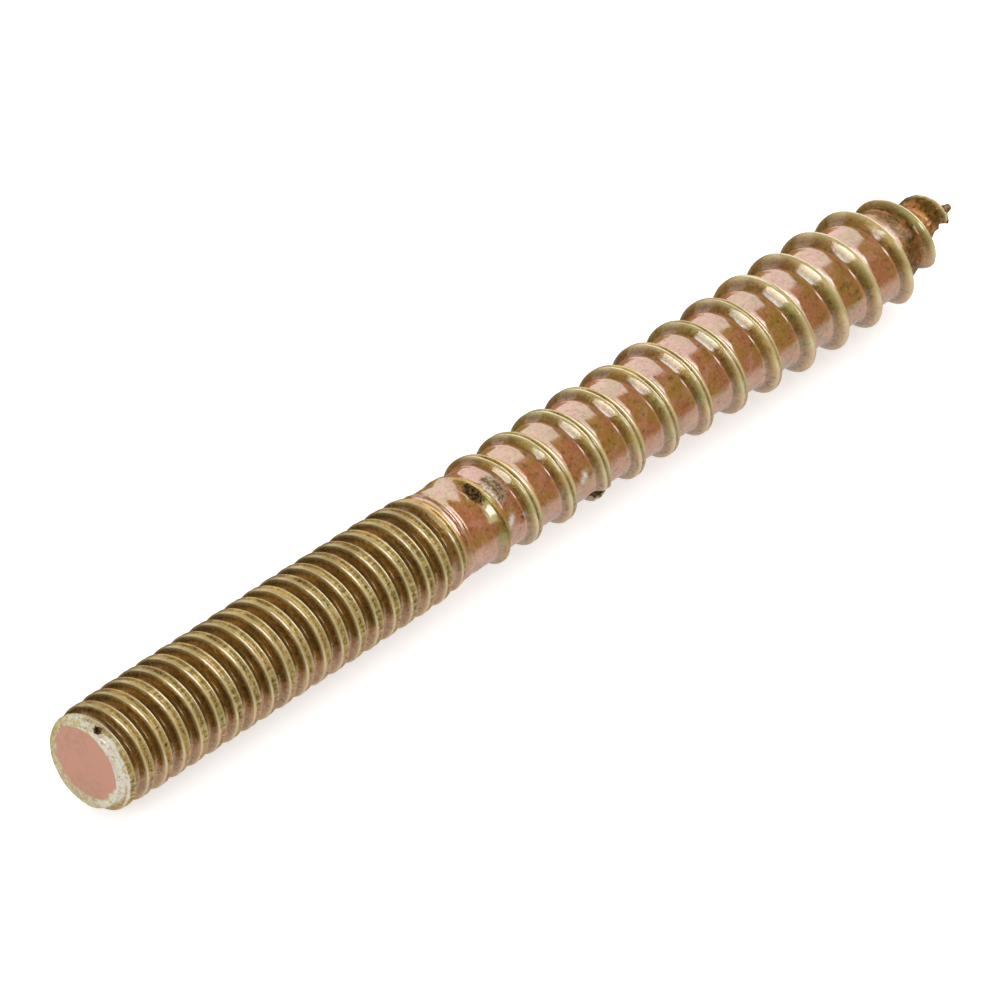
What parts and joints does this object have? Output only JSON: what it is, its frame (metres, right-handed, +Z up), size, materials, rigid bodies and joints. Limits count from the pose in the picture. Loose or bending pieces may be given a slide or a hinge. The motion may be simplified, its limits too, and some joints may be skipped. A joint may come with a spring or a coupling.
{
  "type": "toilet mounting screw",
  "caption": "Steel hanger screw on its side: a machine thread with a flat end for a nut, and a coarse wood thread that runs out to a gimlet point.",
  "frame": {"origin": "centre of the flat end face, on the screw's axis", "axes": "+X along the screw's axis from the flat end to the point, +Z up as the screw lies on its side, +Y to the left of +X"},
  "size_m": [0.064, 0.0062, 0.0062],
  "materials": {
    "yellow_zinc": "rolled steel with a yellow zinc chromate finish, iridescent from olive gold to pink, worn paler on the crests"
  },
  "bodies": {
    "root": {"mounting_screw": "yellow_zinc"}
  },
  "joints": []
}
